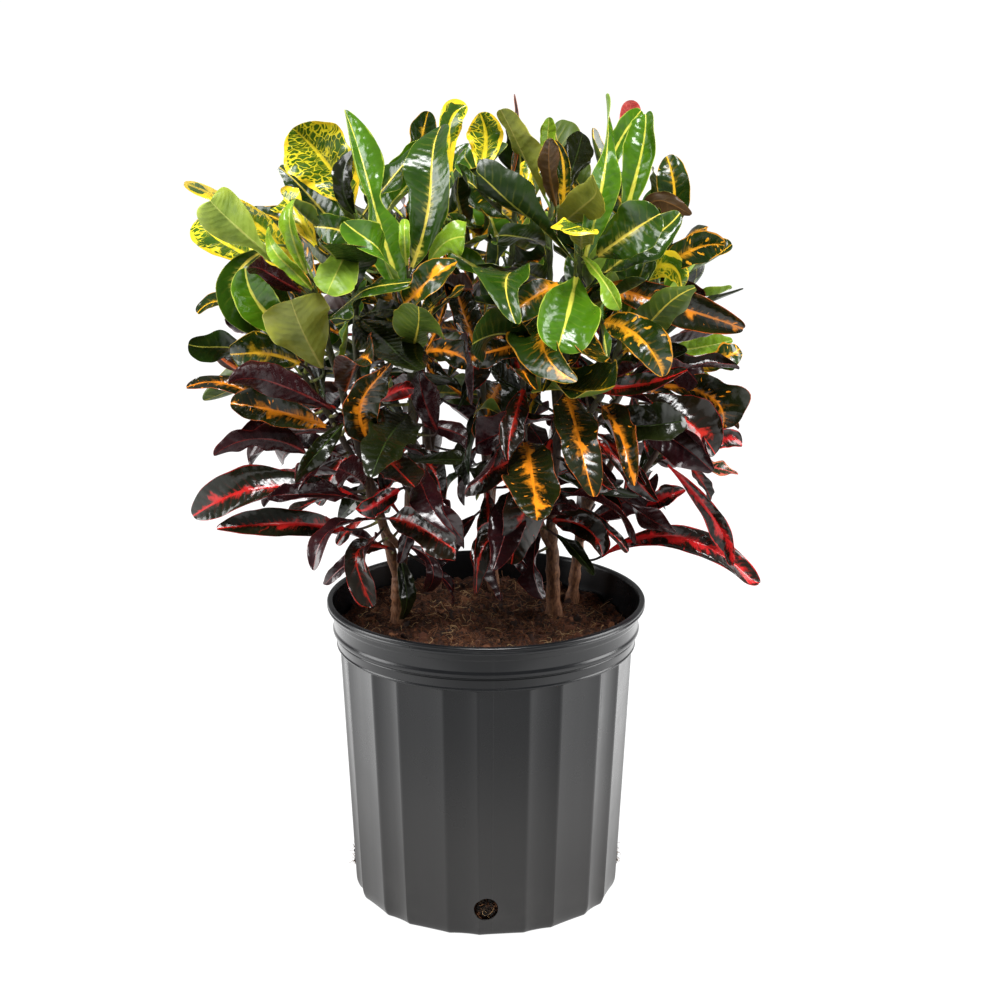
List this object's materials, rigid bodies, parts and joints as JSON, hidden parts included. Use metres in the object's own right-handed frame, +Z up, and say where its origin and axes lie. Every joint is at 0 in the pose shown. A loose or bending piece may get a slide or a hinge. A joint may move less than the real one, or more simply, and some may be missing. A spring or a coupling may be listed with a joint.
{
  "type": "potted croton plant",
  "caption": "Bushy potted croton with curled, twisted leaves on woody stems, rooted in coir soil in a fluted black nursery pot.",
  "frame": {"origin": "middle of the pot's flat underside, on the surface it stands on", "axes": "+Z up along the pot's axis, -Y towards the front of the crown, +X to its right"},
  "size_m": [0.449, 0.336, 0.6452],
  "materials": {
    "pot_plastic": "satin black polyethylene",
    "coir_soil": "loose red-brown coir and bark",
    "foliage": "glossy leathery leaves, green to maroon"
  },
  "bodies": {
    "root": {"pot": "pot_plastic", "soil": "coir_soil", "plant_left": "foliage", "plant_back": "foliage", "plant_centre": "foliage", "plant_right": "foliage", "plant_back_left": "foliage"}
  },
  "joints": []
}
